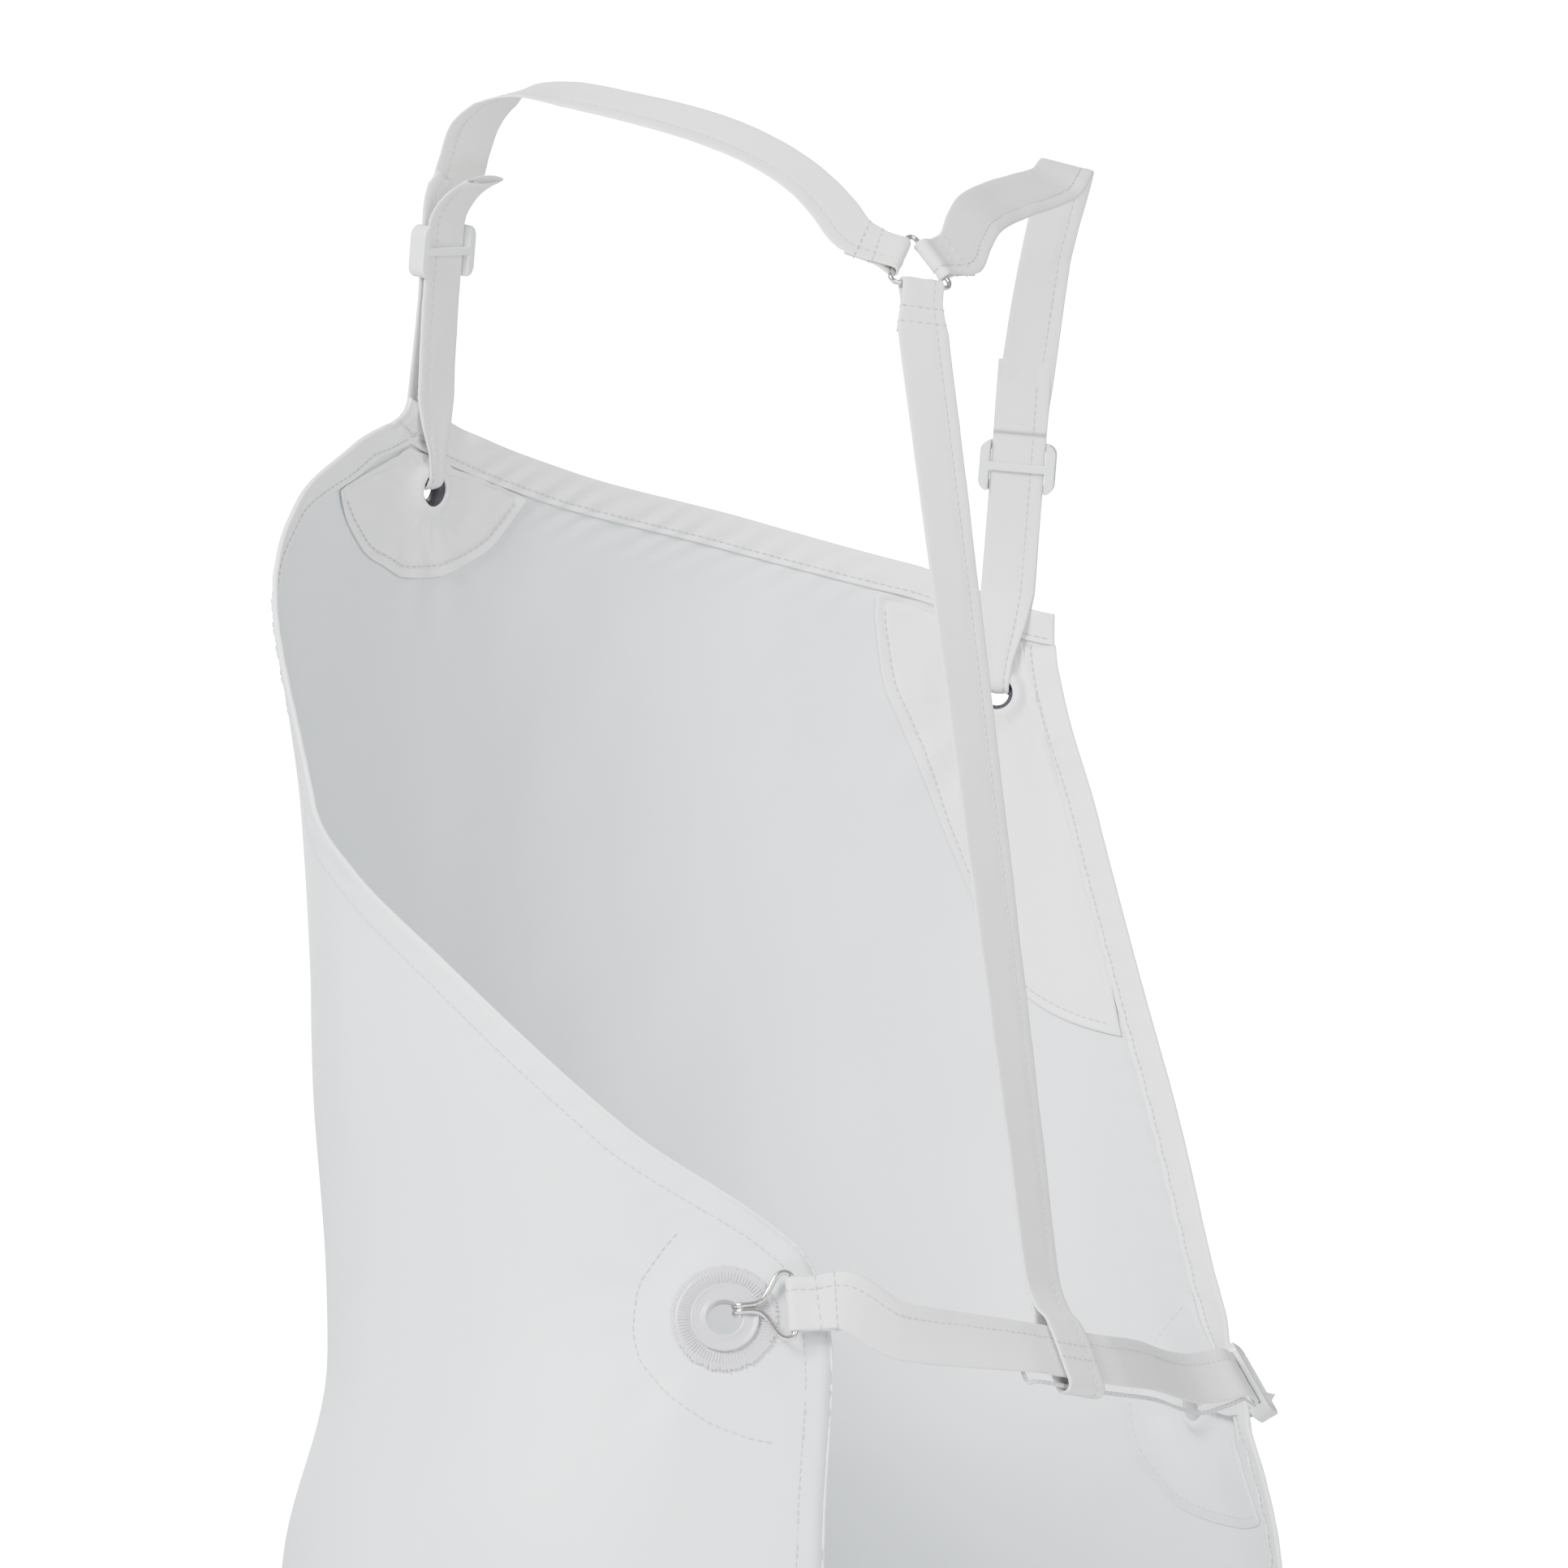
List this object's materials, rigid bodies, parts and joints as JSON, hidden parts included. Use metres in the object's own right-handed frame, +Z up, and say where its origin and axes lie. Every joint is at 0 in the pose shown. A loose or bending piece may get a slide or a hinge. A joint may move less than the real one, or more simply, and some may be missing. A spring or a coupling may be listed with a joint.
{
  "type": "butcher apron",
  "caption": "Worn butcher's bib apron of white coated fabric with crossed shoulder straps, wire nape triangle, back strap and hooked waist belt on plastic eyelets.",
  "frame": {"origin": "midway between the places where the two straps cross the tops of the shoulders", "axes": "+Z up, the wearer faces -Y, the wearer's left side is +X"},
  "size_m": [0.4689, 0.379, 1.3067],
  "materials": {
    "coated_fabric": "matt coated white cloth with a fine grain",
    "hem_fabric": "folded coated cloth, stitched",
    "strap_fabric": "folded tube of coated cloth, stitched along one edge",
    "white_plastic": "white moulded, satin",
    "eyelet_plastic": "clear to milky moulded",
    "clear_plastic": "clear moulded, toothed rim",
    "nickel_wire": "nickel plated wire"
  },
  "bodies": {
    "root": {"apron_panel": "coated_fabric", "top_hem": "hem_fabric", "right_armhole_hem": "hem_fabric", "left_armhole_hem": "hem_fabric", "right_side_hem": "hem_fabric", "left_side_hem": "hem_fabric", "bottom_hem": "hem_fabric", "left_bib_patch": "hem_fabric", "right_bib_patch": "hem_fabric", "left_waist_patch": "hem_fabric", "right_waist_patch": "hem_fabric", "left_bib_eyelet": "eyelet_plastic", "left_bib_washer": "clear_plastic", "right_bib_eyelet": "eyelet_plastic", "right_bib_washer": "clear_plastic", "left_waist_eyelet": "eyelet_plastic", "left_waist_washer": "clear_plastic", "right_waist_eyelet": "eyelet_plastic", "right_waist_washer": "clear_plastic", "left_shoulder_strap": "strap_fabric", "right_shoulder_strap": "strap_fabric", "waist_belt": "strap_fabric", "nape_ring": "nickel_wire"},
    "left_adjuster": {"left_slider": "white_plastic"},
    "right_adjuster": {"right_slider": "white_plastic"},
    "waist_adjuster": {"waist_slider": "white_plastic"},
    "hook": {"belt_hook": "nickel_wire"},
    "back_strap_body": {"back_strap": "strap_fabric"}
  },
  "joints": [
    {"name": "left_slider_slide", "type": "slide", "parent": "root", "child": "left_adjuster", "axis": [0.076, 0.344, 0.9359], "range_m": [-0.012, 0.012]},
    {"name": "right_slider_slide", "type": "slide", "parent": "root", "child": "right_adjuster", "axis": [0.079, 0.3311, 0.9403], "range_m": [-0.012, 0.012]},
    {"name": "waist_slider_slide", "type": "slide", "parent": "root", "child": "waist_adjuster", "axis": [0.6418, 0.7668, 0.005], "range_m": [0, 0.02]},
    {"name": "hook_swing", "type": "hinge", "parent": "root", "child": "hook", "pos_m": [0.08347, 0.16632, -0.55636], "axis": [0.018, -0.116, 0.9931], "range_deg": [0, 100]},
    {"name": "back_strap_swing", "type": "hinge", "parent": "root", "child": "back_strap_body", "pos_m": [-0.001, 0.11957, -0.09998], "axis": [-0.4195, 0.9016, 0.1057], "range_deg": [-1.5, 1.5]}
  ]
}
